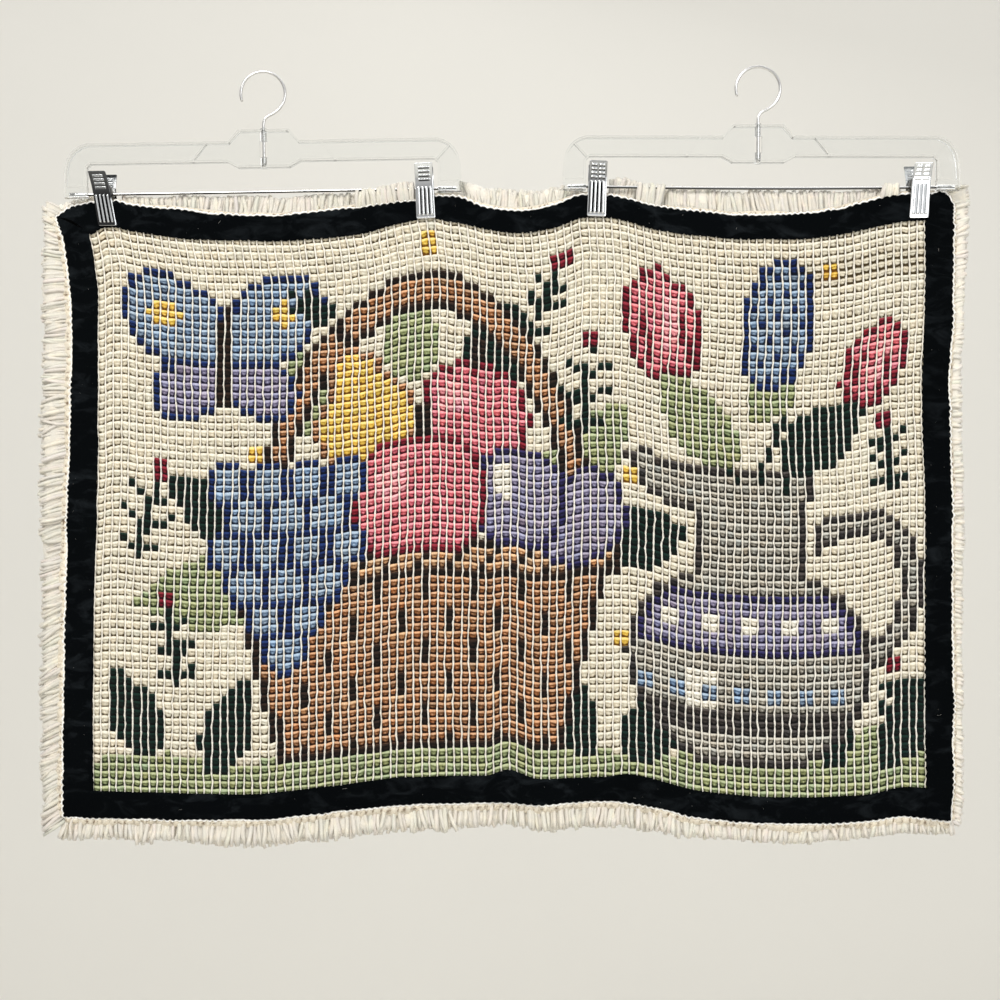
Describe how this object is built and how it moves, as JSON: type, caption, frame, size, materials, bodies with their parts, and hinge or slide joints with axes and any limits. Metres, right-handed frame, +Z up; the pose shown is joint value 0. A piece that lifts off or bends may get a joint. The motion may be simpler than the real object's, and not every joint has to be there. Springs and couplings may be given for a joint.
{
  "type": "latch hook wall hanging on clip hangers",
  "caption": "Rectangular latch hook rug hung canvas side out, with black bound edges and a cut pile behind, gripped by the metal clips of clear plastic hangers with wire hooks.",
  "frame": {"origin": "centre of the bounding box of the whole part, rug, hangers and hooks", "axes": "+Z up as it hangs, +X to the viewer's right, -Y towards the room on the canvas side, +Y towards the wall on the pile side"},
  "size_m": [0.8004, 0.0412, 0.6686],
  "materials": {
    "rug_canvas": "open rug canvas with wool knot backs, matte",
    "rug_pile": "cut yarn pile, matte",
    "binding_tape": "black cotton twill tape, matte",
    "clear_plastic": "clear, moulded",
    "bright_wire": "bright plated wire",
    "plated_sheet": "bright plated pressed sheet",
    "spring_wire": "plain spring wire"
  },
  "bodies": {
    "root": {"canvas": "rug_canvas", "pile": "rug_pile", "tape_top": "binding_tape", "tape_bottom": "binding_tape", "tape_left": "binding_tape", "tape_right": "binding_tape", "hanger_left": "clear_plastic", "hanger_right": "clear_plastic", "hook_left": "bright_wire", "hook_right": "bright_wire", "rod_left": "bright_wire", "rod_right": "bright_wire", "clip1_front": "plated_sheet", "clip1_back": "plated_sheet", "clip1_spring": "spring_wire", "clip2_front": "plated_sheet", "clip2_back": "plated_sheet", "clip2_spring": "spring_wire", "clip3_front": "plated_sheet", "clip3_back": "plated_sheet", "clip3_spring": "spring_wire", "clip4_front": "plated_sheet", "clip4_back": "plated_sheet", "clip4_spring": "spring_wire"}
  },
  "joints": []
}
